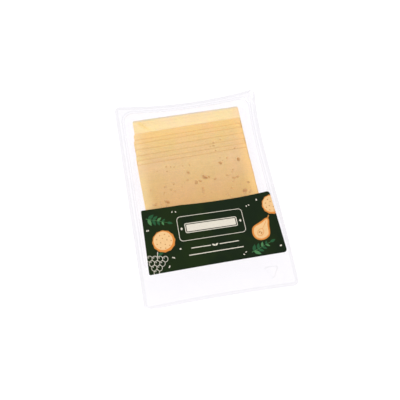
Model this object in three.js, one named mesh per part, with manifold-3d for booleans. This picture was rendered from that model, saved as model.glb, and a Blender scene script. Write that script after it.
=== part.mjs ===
// A sealed pack of sliced cheese: a clear thermoformed tray, eight shingled slices in it,
// a clear lid film that sags onto them, and a self-adhesive label across the film.
//
// Millimetres, +Z up, +Y towards the far end, where the slices step down.
// The origin is the centre of the footprint, on the surface that the pack lies on.

import * as THREE from "three";
import { mergeVertices } from "three/addons/utils/BufferGeometryUtils.js";
import Module from "manifold-3d";

// Pack outline at its corners, and the height of the sealed flange.
const PACK_WIDTH = 140;
const PACK_LENGTH = 200;
const FLANGE_HEIGHT = 13;
const PACK_CORNER = 5;

// Cup of the tray: what the flange leaves, with a draft and two rounded edges.
const WALL = 0.4;
const SIDE_FLANGE = 8;
const FAR_FLANGE = 7.5;
const NEAR_FLANGE = 35;
const CUP_CORNER = 10;
const DRAFT = THREE.MathUtils.degToRad(5);
const RIM_RADIUS = 1;
const FLOOR_RADIUS = 1.5;

// Peel mark: a three-cornered pocket in the near flange, where the film isn't sealed.
const PEEL_X = 48;
const PEEL_Y = -83.5;
const PEEL_SIZE = 8.5;
const PEEL_DEPTH = 0.7;

// How far the flange is drawn in between its corners, on the far, near and +X sides, and
// how far its corners have curled up.
const FAR_BOW = 4.3;
const NEAR_BOW = 1.5;
const SIDE_BOW = 3;
const CORNER_LIFT = 1;

// Lid film: sealed on the flange, sagging inside it.
const FILM = 0.2;
const FILM_SAG = 1.75;
const SEAL_GAP = 0.12;

// Label: its edges measured from the pack's centre.
const LABEL = 0.25;
const LABEL_LEFT = -60.5;
const LABEL_RIGHT = 64.5;
const LABEL_NEAR = -67.5;
const LABEL_FAR = -8;
const LABEL_CORNER = 3;
const LABEL_GAP = 0.05;

// Slices: one size, each laid further from the far wall than the one beneath it.
const SLICE_LENGTH = 99;
const SLICE_WIDTH = 107;
const SLICE_THICKNESS = 1.35;
const SLICE_GAP = 0.06;
const FIRST_FAR_EDGE = 89.4;
const SLICE_STEPS = [0, 14.4, 7.2, 4.8, 7, 6.8, 5.6, 4.9];
const FIRST_SHIFT = 0.2;
const LAST_SHIFT = -1.8;
const SLICE_STRAY = 0.5;
const DROOP = 12;

// How far the slices are turned about the pack's middle: the first one, and those on it.
const FIRST_TURN = THREE.MathUtils.degToRad(0.65);
const STACK_TURN = THREE.MathUtils.degToRad(1.7);

// Eyes of the cheese that open in the top slice: the large ones as [x, y, radius].
const LARGE_EYES = [
  [5, 16, 2.2],
  [-10, 23, 1.5],
  [22, 28, 1.6],
  [40, 29, 1.7],
  [32, 11, 1.4],
  [40, -3, 2.1],
  [-34, -3, 2.2],
  [-4, 12, 1.7],
];
const SMALL_EYES = 22;
const EYE_SMALLEST = 0.7;
const EYE_LARGEST = 1.4;
const EYE_SEED = 20117;

const halfWidth = PACK_WIDTH / 2;
const halfLength = PACK_LENGTH / 2;
const cupHalfWidth = halfWidth - SIDE_FLANGE;
const cupHalfLength = halfLength - (FAR_FLANGE + NEAR_FLANGE) / 2;
const cupMiddle = (NEAR_FLANGE - FAR_FLANGE) / 2;
const up = new THREE.Vector3(0, 0, 1);

const wasm = await Module();
wasm.setup();

// A draw from 0 to 1 that gives the same row of numbers for the same seed.
function draws(seed) {
  let state = seed;
  return () => {
    state = (state * 16807) % 2147483647;
    return state / 2147483647;
  };
}

// Where a point of the flat pack ends up once its sides are drawn in and its corners curled.
// hold is 1 at the flange's height and 0 on the floor of the tray, which stays flat.
function settle(x, y, z, hold) {
  const across = THREE.MathUtils.clamp(x / (halfWidth - PACK_CORNER), -1, 1);
  const along = THREE.MathUtils.clamp(y / (halfLength - PACK_CORNER), -1, 1);
  const endBow = y > 0 ? -FAR_BOW : NEAR_BOW;
  const endPull = endBow * (1 - across ** 2) * along ** 4;
  // This is SIDE_BOW at its deepest, halfway from the middle to the far end.
  const sidePull = (SIDE_BOW * (1 - along ** 2) * (1 + along) ** 2 * Math.max(0, across) ** 3) / 1.6875;
  const lift = CORNER_LIFT * across ** 2 * along ** 2;
  return new THREE.Vector3(x - sidePull * hold, y + endPull * hold, z + lift * hold ** 2);
}

function settled(geometry) {
  const position = geometry.attributes.position;
  for (let i = 0; i < position.count; i++) {
    const p = settle(position.getX(i), position.getY(i), position.getZ(i), 1);
    position.setXYZ(i, p.x, p.y, p.z);
  }
  return geometry;
}

// A closed surface through rings of equal count, with a flat fan over the first and the last.
function loft(rings) {
  const count = rings[0].length;
  const points = rings.flat();
  const index = [];
  for (let r = 0; r + 1 < rings.length; r++) {
    for (let i = 0; i < count; i++) {
      const a = r * count + i;
      const b = r * count + ((i + 1) % count);
      index.push(a, b, b + count, a, b + count, a + count);
    }
  }
  const ends = [rings[0], rings[rings.length - 1]];
  ends.forEach((ring, end) => {
    const centre = points.length;
    const first = end ? (rings.length - 1) * count : 0;
    points.push(ring.reduce((sum, p) => sum.add(p), new THREE.Vector3()).divideScalar(count));
    for (let i = 0; i < count; i++) {
      const a = first + i;
      const b = first + ((i + 1) % count);
      index.push(...(end ? [a, b, centre] : [b, a, centre]));
    }
  });
  return new THREE.BufferGeometry().setFromPoints(points).setIndex(index);
}

// A thin closed slab over a grid. place(column, row) gives the low and high point of each node.
function slab(columns, rows, place) {
  const low = [];
  const high = [];
  for (let j = 0; j < rows; j++) {
    for (let i = 0; i < columns; i++) {
      const [under, over] = place(i, j);
      low.push(under);
      high.push(over);
    }
  }
  const top = low.length;
  const node = (i, j) => j * columns + i;
  const index = [];
  for (let j = 0; j + 1 < rows; j++) {
    for (let i = 0; i + 1 < columns; i++) {
      const [a, b, c, d] = [node(i, j), node(i + 1, j), node(i + 1, j + 1), node(i, j + 1)];
      index.push(top + a, top + b, top + c, top + a, top + c, top + d);
      index.push(a, c, b, a, d, c);
    }
  }
  const edge = [];
  for (let i = 0; i + 1 < columns; i++) edge.push([node(i, 0), node(i + 1, 0)]);
  for (let j = 0; j + 1 < rows; j++) edge.push([node(columns - 1, j), node(columns - 1, j + 1)]);
  for (let i = columns - 1; i > 0; i--) edge.push([node(i, rows - 1), node(i - 1, rows - 1)]);
  for (let j = rows - 1; j > 0; j--) edge.push([node(0, j), node(0, j - 1)]);
  for (const [a, b] of edge) index.push(a, b, top + b, a, top + b, top + a);
  return new THREE.BufferGeometry().setFromPoints([...low, ...high]).setIndex(index);
}

// Points anticlockwise round a rectangle with round corners, the same count for every size.
function roundedRing(halfX, halfY, corner, middleY) {
  const CORNER_STEPS = 5;
  const END_STEPS = 8;
  const SIDE_STEPS = 10;
  const points = [];
  const corners = [
    [1, -1, -90, SIDE_STEPS],
    [1, 1, 0, END_STEPS],
    [-1, 1, 90, SIDE_STEPS],
    [-1, -1, 180, END_STEPS],
  ];
  corners.forEach(([sx, sy, start, steps], n) => {
    const centre = new THREE.Vector2(sx * (halfX - corner), middleY + sy * (halfY - corner));
    for (let i = 0; i <= CORNER_STEPS; i++) {
      const angle = THREE.MathUtils.degToRad(start + (90 * i) / CORNER_STEPS);
      points.push(
        new THREE.Vector2(Math.cos(angle), Math.sin(angle)).multiplyScalar(corner).add(centre),
      );
    }
    const [nx, ny, nextStart] = corners[(n + 1) % corners.length];
    const next = THREE.MathUtils.degToRad(nextStart);
    const target = new THREE.Vector2(
      nx * (halfX - corner) + corner * Math.cos(next),
      middleY + ny * (halfY - corner) + corner * Math.sin(next),
    );
    const from = points[points.length - 1];
    for (let i = 1; i < steps; i++) points.push(from.clone().lerp(target, i / steps));
  });
  return points;
}

// Tray

// The cup's section from the flange to the floor, as [inset from the cup's edge, height].
// depth is 0 on the inner face and WALL on the outer one, which shares the arcs' centres.
function cupSection(depth) {
  const ARC_STEPS = 3;
  const rim = [-RIM_RADIUS, FLANGE_HEIGHT - RIM_RADIUS];
  const wallTop = [
    rim[0] + RIM_RADIUS * Math.cos(DRAFT),
    rim[1] + RIM_RADIUS * Math.sin(DRAFT),
  ];
  const wallFoot = WALL + FLOOR_RADIUS - FLOOR_RADIUS * Math.sin(DRAFT);
  const floorArc = [
    wallTop[0] + (wallTop[1] - wallFoot) * Math.tan(DRAFT) + FLOOR_RADIUS * Math.cos(DRAFT),
    WALL + FLOOR_RADIUS,
  ];
  const section = [];
  for (let i = 0; i <= ARC_STEPS; i++) {
    const a = (Math.PI / 2 - DRAFT) * (i / ARC_STEPS);
    const r = RIM_RADIUS - depth;
    section.push([rim[0] + r * Math.sin(a), rim[1] + r * Math.cos(a)]);
  }
  for (let i = 0; i <= ARC_STEPS; i++) {
    const a = DRAFT + (Math.PI / 2 - DRAFT) * (i / ARC_STEPS);
    const r = FLOOR_RADIUS + depth;
    section.push([floorArc[0] - r * Math.cos(a), floorArc[1] - r * Math.sin(a)]);
  }
  return section;
}

function cupRing([inset, z]) {
  const corner = CUP_CORNER - inset;
  const ring = roundedRing(cupHalfWidth - inset, cupHalfLength - inset, corner, cupMiddle);
  return ring.map((p) => settle(p.x, p.y, z, Math.min(1, z / (FLANGE_HEIGHT - WALL))));
}

// A ring of the flange, share 0 at the cup's edge and 1 at the pack's outline.
function flangeRing(share, z) {
  const between = (a, b) => THREE.MathUtils.lerp(a, b, share);
  const ring = roundedRing(
    between(cupHalfWidth, halfWidth),
    between(cupHalfLength, halfLength),
    between(CUP_CORNER, PACK_CORNER),
    between(cupMiddle, 0),
  );
  return ring.map((p) => settle(p.x, p.y, z, 1));
}

function trayGeometry() {
  const FLANGE_SHARES = [0.5, 1];
  const inner = cupSection(0).map(cupRing).reverse();
  const outer = cupSection(WALL).map(cupRing);
  const over = FLANGE_SHARES.map((share) => flangeRing(share, FLANGE_HEIGHT));
  const under = FLANGE_SHARES.map((share) => flangeRing(share, FLANGE_HEIGHT - WALL)).reverse();
  const shell = solidOf(loft([...inner, ...over, ...under, ...outer].reverse()));
  const foot = FLANGE_HEIGHT - PEEL_DEPTH;
  const bulge = solidOf(peelPrism(PEEL_SIZE + WALL, foot - WALL, FLANGE_HEIGHT - WALL / 2));
  const hollow = solidOf(peelPrism(PEEL_SIZE, foot, FLANGE_HEIGHT + CORNER_LIFT));
  return geometryOf(shell.add(bulge).subtract(hollow));
}

// A triangular prism of the peel mark's outline, one corner pointing to the near edge.
function peelPrism(size, low, high) {
  const prism = new THREE.CylinderGeometry(size, size, high - low, 3);
  prism.rotateX(Math.PI / 2);
  prism.rotateZ(Math.PI);
  prism.translate(PEEL_X, PEEL_Y, (low + high) / 2);
  return settled(prism);
}

// Lid film and label, on one grid so that the label lies on the film's own facets.

const filmXs = [
  -halfWidth, -65, LABEL_LEFT, -56, -50, -40, -26, -10, 8, 26, 40, 50, 57, 61, LABEL_RIGHT, halfWidth,
];
const filmYs = [
  -halfLength, -95, -88, -81, -75, LABEL_NEAR, -63.5, -59, -51, -42, -30, -19, -11.5, LABEL_FAR,
  2, 14, 28, 42, 56, 68, 78, 85, 90, 95, halfLength,
];

// How far the film has sagged below the flange: nothing at the cup's edge, most in the middle.
function sag(x, y) {
  const EDGE = 1.5;
  const across = Math.min(1, Math.abs(x) / (cupHalfWidth - EDGE));
  const along = Math.min(1, Math.abs(y - cupMiddle) / (cupHalfLength - EDGE));
  return FILM_SAG * (1 - across ** 4) * (1 - along ** 4);
}

// A sheet on the grid, lift above the flange, with its four corners rounded off.
function laidSheet(xs, ys, lift, thickness, corner) {
  const pullIn = corner * (1 - Math.SQRT1_2);
  return slab(xs.length, ys.length, (i, j) => {
    const atCorner = (i === 0 || i === xs.length - 1) && (j === 0 || j === ys.length - 1);
    const x = xs[i] - (atCorner ? Math.sign(xs[i]) * pullIn : 0);
    const towardsMiddle = j === 0 ? 1 : -1;
    const y = ys[j] + (atCorner ? towardsMiddle * pullIn : 0);
    const z = FLANGE_HEIGHT + lift - sag(xs[i], ys[j]);
    return [settle(x, y, z, 1), settle(x, y, z + thickness, 1)];
  });
}

function filmGeometry() {
  return laidSheet(filmXs, filmYs, SEAL_GAP, FILM, PACK_CORNER);
}

function labelGeometry() {
  const xs = filmXs.filter((x) => x >= LABEL_LEFT && x <= LABEL_RIGHT);
  const ys = filmYs.filter((y) => y >= LABEL_NEAR && y <= LABEL_FAR);
  return laidSheet(xs, ys, SEAL_GAP + FILM + LABEL_GAP, LABEL, LABEL_CORNER);
}

// Slices

const farEdges = SLICE_STEPS.map((_, n) => {
  const stepped = SLICE_STEPS.slice(0, n + 1).reduce((sum, step) => sum + step, 0);
  return FIRST_FAR_EDGE - stepped;
});
const nearEdges = farEdges.map((y) => y - SLICE_LENGTH);

// Every slice has its cross lines at the same places, so that stacked faces match. The last
// one keeps the slices flat over the first one's near end, which is turned less than they are.
const sliceRows = [
  ...nearEdges,
  ...nearEdges.map((y, n) => (y + (nearEdges[n - 1] ?? farEdges.at(-1))) / 2),
  nearEdges.at(0) + 4,
  nearEdges.at(0) - 1.2,
];

// Height of the underside of slice n: the layers beneath it, past whose ends it droops.
function restHeight(n, y) {
  let z = WALL + SLICE_GAP;
  for (let below = 0; below < n; below++) {
    const past = (nearEdges[below] - y) / DROOP;
    z += SLICE_THICKNESS * (1 - THREE.MathUtils.smoothstep(past, 0, 1));
  }
  return z;
}

// Where the middle of slice n lies across the pack.
function sliceMiddle(n) {
  const share = n / (SLICE_STEPS.length - 1);
  return THREE.MathUtils.lerp(FIRST_SHIFT, LAST_SHIFT, share) + SLICE_STRAY * Math.sin(2.3 * n);
}

function sliceGeometry(n) {
  const COLUMNS = 5;
  const ys = [...new Set([...sliceRows, farEdges[n], nearEdges[n]])]
    .filter((y) => y >= nearEdges[n] && y <= farEdges[n])
    .sort((a, b) => a - b);
  const middle = sliceMiddle(n);
  const turn = n === 0 ? FIRST_TURN : STACK_TURN;
  const turned = (x, y, z) => new THREE.Vector3(x, y, z).applyAxisAngle(up, turn);
  return slab(COLUMNS, ys.length, (i, j) => {
    const x = middle + SLICE_WIDTH * (i / (COLUMNS - 1) - 0.5);
    const z = restHeight(n, ys[j]);
    return [turned(x, ys[j], z), turned(x, ys[j], z + SLICE_THICKNESS - SLICE_GAP)];
  });
}

function solidOf(geometry) {
  const bare = geometry.clone();
  bare.deleteAttribute("normal");
  bare.deleteAttribute("uv");
  const merged = mergeVertices(bare, 1e-4);
  return new wasm.Manifold(
    new wasm.Mesh({
      numProp: 3,
      vertProperties: merged.attributes.position.array,
      triVerts: new Uint32Array(merged.index.array),
    }),
  );
}

function geometryOf(solid) {
  const mesh = solid.getMesh();
  return new THREE.BufferGeometry()
    .setAttribute("position", new THREE.BufferAttribute(mesh.vertProperties, 3))
    .setIndex(new THREE.BufferAttribute(mesh.triVerts, 1));
}

// The top slice with its eyes cut in: the large ones, and small ones drawn nearer the label.
function eyedSliceGeometry(n) {
  const MARGIN = 5;
  const draw = draws(EYE_SEED);
  const eyes = [...LARGE_EYES];
  for (let eye = 0; eye < SMALL_EYES; eye++) {
    const x = LAST_SHIFT + (2 * draw() - 1) * (SLICE_WIDTH / 2 - MARGIN);
    const y = THREE.MathUtils.lerp(LABEL_FAR, farEdges[n] - MARGIN, draw() ** 1.4);
    eyes.push([x, y, THREE.MathUtils.lerp(EYE_SMALLEST, EYE_LARGEST, draw())]);
  }
  let slice = solidOf(sliceGeometry(n));
  for (const [x, y, radius] of eyes) {
    const hollow = new THREE.SphereGeometry(radius, 10, 6);
    hollow.scale(1.2, 0.9, 0.5);
    hollow.rotateZ(Math.PI * draw());
    hollow.translate(x, y, restHeight(n, y) + SLICE_THICKNESS - SLICE_GAP);
    slice = slice.subtract(solidOf(hollow));
  }
  return geometryOf(slice);
}

const clearPlastic = new THREE.MeshStandardMaterial({
  color: 0xf2f4f7,
  roughness: 0.08,
  metalness: 0,
  transparent: true,
  opacity: 0.25,
});
const cheese = new THREE.MeshStandardMaterial({ color: 0xeac78d, roughness: 0.5, metalness: 0 });
const greenPaper = new THREE.MeshStandardMaterial({ color: 0x22301a, roughness: 0.45, metalness: 0 });

function named(name, geometry, material) {
  const flat = geometry.toNonIndexed();
  flat.computeVertexNormals();
  const mesh = new THREE.Mesh(flat, material);
  mesh.name = name;
  return mesh;
}

const pack = new THREE.Group();
pack.add(named("tray", trayGeometry(), clearPlastic));
const topSlice = SLICE_STEPS.length - 1;
for (let n = 0; n < topSlice; n++) pack.add(named(`slice_${n + 1}`, sliceGeometry(n), cheese));
pack.add(named(`slice_${topSlice + 1}`, eyedSliceGeometry(topSlice), cheese));
pack.add(named("lid_film", filmGeometry(), clearPlastic));
pack.add(named("label", labelGeometry(), greenPaper));

export default pack;
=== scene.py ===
"""A sealed pack of sliced cheese: clear thermoformed tray, shingled slices, clear lid film and
printed label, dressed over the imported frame."""

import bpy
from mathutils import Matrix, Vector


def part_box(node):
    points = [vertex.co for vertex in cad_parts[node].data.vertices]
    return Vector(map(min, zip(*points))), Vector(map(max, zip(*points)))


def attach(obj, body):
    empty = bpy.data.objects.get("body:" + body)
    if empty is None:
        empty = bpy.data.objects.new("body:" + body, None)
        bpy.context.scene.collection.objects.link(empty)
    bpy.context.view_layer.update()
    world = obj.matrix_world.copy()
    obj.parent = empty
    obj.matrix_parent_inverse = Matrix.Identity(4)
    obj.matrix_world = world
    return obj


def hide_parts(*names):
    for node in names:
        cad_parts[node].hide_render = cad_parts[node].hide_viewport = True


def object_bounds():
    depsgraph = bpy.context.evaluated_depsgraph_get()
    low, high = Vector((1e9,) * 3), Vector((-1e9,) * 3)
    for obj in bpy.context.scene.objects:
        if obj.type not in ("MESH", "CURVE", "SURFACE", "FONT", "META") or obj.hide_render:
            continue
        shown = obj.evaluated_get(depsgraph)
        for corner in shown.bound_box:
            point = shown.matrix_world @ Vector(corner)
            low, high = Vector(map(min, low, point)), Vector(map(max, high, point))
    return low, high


bl_info = {
    "name": "Sliced Cheese Pack",
    "version": (1, 0, 0),
    "blender": (4, 5, 0),
    "location": "View3D > Sidebar > Cheese Pack",
    "description": "Builds a clear sealed tray of shingled cheese slices with a printed label",
    "category": "Add Mesh",
}

from math import ceil, cos, exp, hypot, pi, radians, sin, sqrt, tan

import bpy
from bpy.props import FloatProperty, FloatVectorProperty, IntProperty, PointerProperty
from mathutils import Matrix, Vector, noise
from mathutils.geometry import delaunay_2d_cdt

MM = 0.001

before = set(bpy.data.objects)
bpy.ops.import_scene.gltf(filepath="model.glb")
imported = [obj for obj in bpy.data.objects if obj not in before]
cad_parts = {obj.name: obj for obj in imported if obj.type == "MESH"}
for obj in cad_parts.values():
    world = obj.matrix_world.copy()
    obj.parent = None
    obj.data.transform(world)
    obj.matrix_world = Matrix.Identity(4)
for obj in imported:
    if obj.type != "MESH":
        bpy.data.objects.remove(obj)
CAD_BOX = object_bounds()
HALF_WIDTH = (CAD_BOX[1].x - CAD_BOX[0].x) / 2
HALF_LENGTH = (CAD_BOX[1].y - CAD_BOX[0].y) / 2
SLICE_NODES = sorted(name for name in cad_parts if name.startswith("slice_"))
CHEESE_LOW, CHEESE_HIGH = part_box(SLICE_NODES[0])
# How far each slice's far edge lies behind that of the slice beneath it, in mm.
SLICE_STEPS = (0, 14.4, 7.2, 4.8, 7, 6.8, 5.6, 4.9)
# Distance in the noise from one slice's waves to the next slice's.
WAVES_APART = 5.3
# How far in the rings of the turned edge lie, as shares of its width.
EDGE_RINGS = (1, 0.7, 0.4, 0.15, 0)
# Steps of each round part of the cup's section, and how far in its floor's rings lie.
ARC_STEPS = 6
FLOOR_RINGS = (8 * MM, 20 * MM, 40 * MM)
# Faces that meet at more than this stay sharp.
SHARP_ANGLE = radians(35)
# Fewer faces than this mean that cutting the eyes has failed.
FEWEST_FACES = 1000

WHITE = (1.0, 1.0, 1.0)
NOISE_ROUGHNESS = 0.55
# How light goes into cheese: red goes furthest, about 2 mm, and blue least.
CHEESE_DEPTH = {"IOR": 1.45, "Subsurface Radius": (1.0, 0.6, 0.28), "Subsurface Scale": 2.2 * MM}


# Settings


def length(name, description, millimetres):
    """A length property whose default is given in millimetres."""
    return FloatProperty(
        name=name,
        description=description,
        default=millimetres * MM,
        unit="LENGTH",
        precision=5,
    )


def angle(name, description, degrees):
    """An angle property whose default is given in degrees."""
    return FloatProperty(name=name, description=description, default=radians(degrees), subtype="ANGLE")


def number(name, description, default, **settings):
    """A number property, in metres or watts where it has a unit."""
    return FloatProperty(name=name, description=description, default=default, **settings)


def location(name, description, at):
    """A property that holds a place, whose default is given in metres."""
    return FloatVectorProperty(
        name=name,
        description=description,
        default=at,
        subtype="TRANSLATION",
        size=3,
    )


def colour(name, description, code):
    """A colour property whose default is an sRGB hex code."""
    return FloatVectorProperty(
        name=name,
        description=description,
        default=linear(code),
        subtype="COLOR",
        size=3,
        min=0.0,
        max=1.0,
    )


def linear(code):
    """Linear red, green and blue of an sRGB hex code."""
    channels = [int(code[i : i + 2], 16) / 255 for i in (1, 3, 5)]
    return tuple(c / 12.92 if c <= 0.04045 else ((c + 0.055) / 1.055) ** 2.4 for c in channels)


class PackTray(bpy.types.PropertyGroup):
    """Sizes and tint of the thermoformed tray."""

    height: length("Flange height", "Height of the sealed flange over the floor", 13)
    wall: length("Sheet thickness", "Thickness of the formed sheet", 0.4)
    side_flange: length("Side flange", "Width of the flange along the sides", 8)
    far_flange: length("Far flange", "Width of the flange at the far end", 7.5)
    near_flange: length("Near flange", "Width of the flange at the near end", 35)
    outline_corner: length("Outline corner", "Corner radius of the outline", 5)
    cup_corner: length("Cup corner", "Corner radius of the cup", 10)
    draft: angle("Draft", "Lean of the cup's wall", 5)
    rim_radius: length("Rim radius", "Rounding from the flange into the cup", 1)
    floor_radius: length("Floor radius", "Rounding from the wall into the floor", 1.5)
    far_bow: length("Far bow", "How far the far end is drawn in", 4.3)
    near_bow: length("Near bow", "How far the near end is drawn in", 1.5)
    side_bow: length("Side bow", "How far the +X side is drawn in", 3)
    corner_lift: length("Corner lift", "How far the corners have curled up", 1)
    groove_offset: length("Seal groove offset", "From the cup's edge to the seal groove", 2.6)
    groove_width: length("Seal groove width", "Width of the groove that the sealing tool left", 1.2)
    groove_depth: length("Seal groove depth", "Depth of the seal groove", 0.25)
    edge_turn: length("Edge turn", "How far the cut edge is turned down", 0.6)
    edge_width: length("Edge width", "Width of the turned edge", 3.4)
    peel_x: length("Peel mark X", "Middle of the peel mark across the pack", 48)
    peel_y: length("Peel mark Y", "Middle of the peel mark along the pack", -83.5)
    peel_size: length("Peel mark size", "Reach of the peel mark's corners", 8.5)
    peel_depth: length("Peel mark depth", "Depth of the unsealed pocket", 0.7)
    tint: colour("Sheet tint", "What the clear sheet lets through", "#FCFBFD")
    # Painted shade: bends and the cut edge get a greyer tint, as clear plastic looks grey there.
    bend_tint: colour("Bend tint", "What it lets through where it is bent or cut", "#F9F8FA")
    cup_tint: colour("Cup tint", "What the thinner sheet of the cup lets through", "#FDFCFE")


class PackFilm(bpy.types.PropertyGroup):
    """Sizes and tint of the lid film."""

    seal_gap: length("Seal gap", "From the flange to the film", 0.12)
    thickness: length("Film thickness", "Thickness of the lid film", 0.2)
    sag: length("Sag", "How far the film hangs in the middle of the cup", 1.75)
    sag_edge: length("Sag edge", "Width inside the cup's edge where the film stays up", 1.5)
    crease_height: length("Crease height", "Height of the creases at the cheese's corners", 0.4)
    ripple: length("Ripple", "Height of the shallow waves in the film", 0.07)
    ripple_span: length("Ripple span", "Distance over which the film waves once", 22)
    mesh_step: length("Mesh step", "Distance between the film's mesh lines", 1.6)
    tint: colour("Film tint", "What the clear film lets through", "#FDFDFD")


class PackSlices(bpy.types.PropertyGroup):
    """Sizes and colours of the cheese."""

    width: length("Slice width", "Width of a slice across the pack", 107)
    long_side: length("Slice length", "Length of a slice along the pack", 99)
    first_far_edge: length("First far edge", "Where the lowest slice's far edge lies", 89.4)
    first_shift: length("First shift", "Where the lowest slice's middle lies across the pack", 0.2)
    last_shift: length("Last shift", "Where the top slice's middle lies across the pack", -1.8)
    side_stray: length("Side stray", "How far slices are laid off the line between those", 0.5)
    first_turn: angle("First turn", "How far the lowest slice is turned about the pack's middle", 0.65)
    stack_turn: angle("Stack turn", "How far the slices on it are turned", 1.7)
    thickness: length("Slice thickness", "Thickness of one slice", 1.35)
    gap: length("Slice gap", "Air left between two slices", 0.06)
    droop: length("Droop", "Length over which a slice comes down past the one beneath", 12)
    corner: length("Slice corner", "Corner radius of a slice", 1.6)
    stray: length("Edge stray", "How far the cut edges wander", 0.3)
    curl: length("Curl", "How far the free far edges lift", 0.35)
    crease_lift: length("Crease lift", "How far the crease in the lowest slice lifts it", 0.35)
    mesh_step: length("Mesh step", "Distance between a slice's mesh lines", 1.5)
    small_eyes: IntProperty(name="Small eyes", description="Small eyes in the top slice", default=32)
    tiny_eyes: IntProperty(name="Tiny eyes", description="Pinhole eyes in the top slice", default=26)
    smallest_eye: length("Smallest small eye", "Radius of the smallest small eye", 0.7)
    largest_eye: length("Largest small eye", "Radius of the largest small eye", 1.4)
    smallest_tiny: length("Smallest tiny eye", "Radius of the smallest pinhole eye", 0.45)
    largest_tiny: length("Largest tiny eye", "Radius of the largest pinhole eye", 0.9)
    top_lumps: length("Lumps", "How far an eye of the top slice strays from round", 0.7)
    lower_lumps: length("Lower lumps", "How far an eye of the other slices strays from round", 0.25)
    lump_size: length("Lump size", "Distance between the lumps of an eye", 1.6)
    eye_seed: IntProperty(name="Eye seed", description="Start of the row of draws", default=20117)
    thin: colour("Single slice", "Colour where one slice lies on the tray", "#FDE3AF")
    edge: colour("Shingled slices", "Colour where two or three slices lie on each other", "#F6CC87")
    middle: colour("Half the stack", "Colour where four or five slices lie on each other", "#EAC789")
    deep: colour("Full stack", "Colour where the slices lie full depth", "#E6C28C")
    near: colour("Near the label", "Colour of the top slice beside the label", "#DBB070")
    eye: colour("Eye wall", "Colour inside an eye near the cut", "#DFB37C")
    # Painted shade: the floor of a deep eye is darker, as the shade in a hollow.
    eye_floor_shade: colour("Eye floor", "Colour at the bottom of a deep eye", "#BF8646")
    # Greyer, darker colour that the far cut of the lowest slice takes.
    grey_far_cut: colour("Grey far cut", "Colour of the far cut that lies alone on the tray", "#E5D9C2")
    glow: colour("Lit side", "Colour of the +X side, which light comes through", "#FFD08C")


class PackLabel(bpy.types.PropertyGroup):
    """Sizes and inks of the label."""

    left: length("Left edge", "Left edge of the label", -60.5)
    right: length("Right edge", "Right edge of the label", 64.5)
    near: length("Near edge", "Near edge of the label", -69)
    far: length("Far edge", "Far edge of the label", -8)
    left_corner: length("Left corners", "Corner radius at the left", 1.5)
    right_corner: length("Right corners", "Corner radius at the right", 3)
    turn: angle("Turn", "How far the label was laid askew", 0.5)
    bow: length("Bow", "How far the sagging film draws its far edge in", 1.6)
    thickness: length("Thickness", "Thickness of the label stock", 0.25)
    gap: length("Glue gap", "From the film to the label", 0.05)
    taper: length("Taper", "How much each end widens towards the near edge", 1)
    mesh_step: length("Mesh step", "Distance between the label's mesh points", 2.5)
    green: colour("Green field", "Ground colour of the label", "#18270B")
    green_deep: colour("Deep green", "Cloudy parts of the ground", "#12200E")
    cream: colour("Cream ink", "Lines and plate", "#D9D2C4")
    orange: colour("Orange ink", "Skin of the drawn pear and the crackers' rim", "#D8883F")
    pale: colour("Pale ink", "Flesh of the drawn pear and the crackers' face", "#E6BD88")
    tan: colour("Tan ink", "Shaded parts of the drawings", "#B9793C")
    leaf: colour("Leaf ink", "Leaves", "#265434")
    leaf_light: colour("Light leaf ink", "Veins and small leaves", "#4B7D4F")
    paper: colour("Paper", "Bare glued back of the label stock", "#E9E6DD")


class PackStage(bpy.types.PropertyGroup):
    """Floor, lights and camera."""

    floor_size: number("Floor size", "Side of the floor", 3.0, unit="LENGTH")
    floor: colour("Floor", "Colour of the light table's top", "#808080")
    floor_glow: number("Floor glow", "Light that comes up through the table", 0.9)
    floor_drop: length("Floor drop", "Air between the tray and the floor", 0.3)
    sky: number("Sky", "Strength of the soft light all round", 0.62)
    key_power: number("Key power", "Power of the large soft box", 10.6, unit="POWER")
    key_size: number("Key size", "Side of the large soft box", 0.9, unit="LENGTH")
    key_place: location("Key place", "Where the large soft box hangs", (-0.5, -0.6, 1.1))
    rim_power: number("Rim power", "Power of the strip light", 2.5, unit="POWER")
    rim_size: number("Rim size", "Side of the strip light", 0.3, unit="LENGTH")
    rim_place: location("Rim place", "Where the strip light hangs", (0.45, 0.75, 0.95))
    azimuth: angle("Azimuth", "0 looks along +Y", -20.06)
    elevation: angle("Elevation", "Over the horizon", 70.385)
    roll: angle("Roll", "Turn about the line of sight", 10.407)
    distance: length("Distance", "From the camera to the point it looks at", 557.06)
    target: location("Target", "The point that the camera looks at", (-4.223 * MM, -6.999 * MM, 14.32 * MM))
    lens: number("Lens", "Focal length in mm on a 36 mm sensor", 54.0)


# Small tools


def clamp(value, low=0.0, high=1.0):
    return max(low, min(high, value))


def smoothstep(value):
    t = clamp(value)
    return t * t * (3 - 2 * t)


def mix(a, b, share):
    return a + (b - a) * share


def draws(seed):
    """A row of numbers from 0 to 1 that is the same for the same seed."""
    state = seed
    while True:
        state = (state * 16807) % 2147483647
        yield state / 2147483647


def wave(x, y, z, span):
    """Smooth noise from -1 to 1 whose bumps are about span apart."""
    return noise.noise(Vector((x / span, y / span, z)))


def smooth(mesh):
    """Shades a mesh smooth, apart from its sharp edges."""
    mesh.shade_smooth()
    mesh.set_sharp_from_angle(angle=SHARP_ANGLE)


def new_piece(name, points, faces):
    """A mesh object at the origin, smooth where its faces meet at a low angle."""
    mesh = bpy.data.meshes.new(name)
    mesh.from_pydata([tuple(p) for p in points], [], faces)
    mesh.update()
    smooth(mesh)
    piece = bpy.data.objects.new(name, mesh)
    bpy.context.collection.objects.link(piece)
    return piece


def bake_modifiers(piece):
    """Turns what the piece's modifiers show into its plain mesh."""
    bpy.context.view_layer.update()
    shown = piece.evaluated_get(bpy.context.evaluated_depsgraph_get())
    mesh = bpy.data.meshes.new_from_object(shown)
    piece.modifiers.clear()
    old = piece.data
    piece.data = mesh
    bpy.data.meshes.remove(old)
    mesh.name = piece.name


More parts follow.
